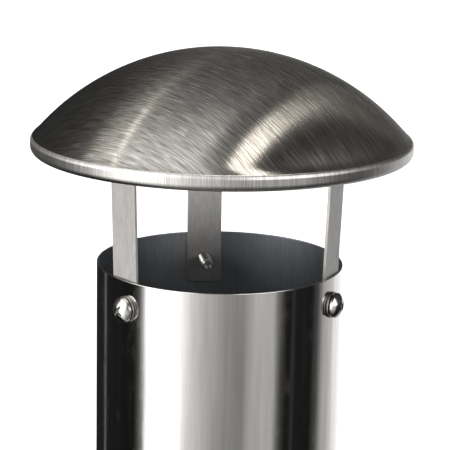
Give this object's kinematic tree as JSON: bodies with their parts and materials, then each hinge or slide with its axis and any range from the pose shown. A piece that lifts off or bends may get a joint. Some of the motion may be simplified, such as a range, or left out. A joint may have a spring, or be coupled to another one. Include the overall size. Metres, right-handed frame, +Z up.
{
  "type": "outdoor heater",
  "caption": "Free-standing wood-burning garden stove with glazed door, ash drawer, pyramid hood and a round flue under a domed rain cap on straps.",
  "frame": {"origin": "on the floor, under the axis of the flue, at the middle of the base", "axes": "+Z up along the flue, -Y towards the front with the door, +X to the right seen from the front"},
  "size_m": [0.48, 0.48, 1.2242],
  "materials": {
    "satin_stainless": "hand-brushed satin stainless steel sheet",
    "polished_stainless": "polished stainless steel sheet",
    "strap_stainless": "cold-rolled stainless steel strip",
    "bright_screw": "bright stainless fastener",
    "cast_iron": "raw sand-cast iron",
    "firebrick": "pressed vermiculite board",
    "ceramic_glass": "clear ceramic stove glass",
    "rope_seal": "knitted glass-fibre rope, graphited",
    "turned_wood": "oiled turned beech",
    "foot_rubber": "moulded black rubber"
  },
  "bodies": {
    "stove": {"rain_cap": "satin_stainless", "cap_strap_left": "strap_stainless", "cap_strap_right": "strap_stainless", "cap_strap_rear": "strap_stainless", "strap_screw_left": "bright_screw", "strap_screw_right": "bright_screw", "strap_screw_rear": "bright_screw", "strap_flat_washers": "bright_screw", "strap_lock_washers": "bright_screw", "flue_pipe_upper": "polished_stainless", "flue_pipe_lower": "polished_stainless", "flue_spigot": "satin_stainless", "flue_collar": "satin_stainless", "collar_set_screws": "bright_screw", "hood_panel_front": "satin_stainless", "hood_panel_rear": "satin_stainless", "hood_panel_left": "satin_stainless", "hood_panel_right": "satin_stainless", "hood_top_plate": "satin_stainless", "firebox_panel_left": "satin_stainless", "firebox_panel_right": "satin_stainless", "firebox_panel_rear": "satin_stainless", "firebox_bottom": "satin_stainless", "firebox_front": "satin_stainless", "firebox_deck": "satin_stainless", "fire_grate": "cast_iron", "firebrick_left": "firebrick", "firebrick_right": "firebrick", "firebrick_rear": "firebrick", "hinge_bracket_lower": "satin_stainless", "hinge_bracket_upper": "satin_stainless", "hinge_pin_lower": "bright_screw", "hinge_pin_upper": "bright_screw", "latch_keeper": "strap_stainless", "drawer_runner_left": "strap_stainless", "drawer_runner_right": "strap_stainless", "leg_front_left": "satin_stainless", "leg_front_right": "satin_stainless", "leg_rear_left": "satin_stainless", "leg_rear_right": "satin_stainless", "base_feet": "foot_rubber", "base_plate": "satin_stainless"},
    "door": {"door_plate": "satin_stainless", "door_glass": "ceramic_glass", "glass_clips": "strap_stainless", "door_seal": "rope_seal", "hinge_eye_lower": "satin_stainless", "hinge_eye_upper": "satin_stainless"},
    "latch": {"latch_spindle": "bright_screw", "latch_catch": "strap_stainless", "latch_lever": "strap_stainless", "lever_grip": "turned_wood"},
    "ash_drawer": {"ash_tray": "strap_stainless", "ash_drawer_front": "satin_stainless", "ash_drawer_pull": "satin_stainless", "air_slide_guides": "strap_stainless"},
    "air_control": {"air_slide": "strap_stainless", "air_slide_knob": "turned_wood"}
  },
  "joints": [
    {"name": "door_hinge", "type": "hinge", "parent": "stove", "child": "door", "pos_m": [-0.142, -0.1825, 0.512], "axis": [0, 0, -1], "range_deg": [0, 110]},
    {"name": "latch_turn", "type": "hinge", "parent": "door", "child": "latch", "pos_m": [0.112, -0.193, 0.512], "axis": [0, 1, 0], "range_deg": [0, 90]},
    {"name": "ash_drawer_slide", "type": "slide", "parent": "stove", "child": "ash_drawer", "axis": [0, -1, 0], "range_m": [0, 0.2]},
    {"name": "air_slide_travel", "type": "slide", "parent": "ash_drawer", "child": "air_control", "axis": [1, 0, 0], "range_m": [0, 0.012]}
  ]
}
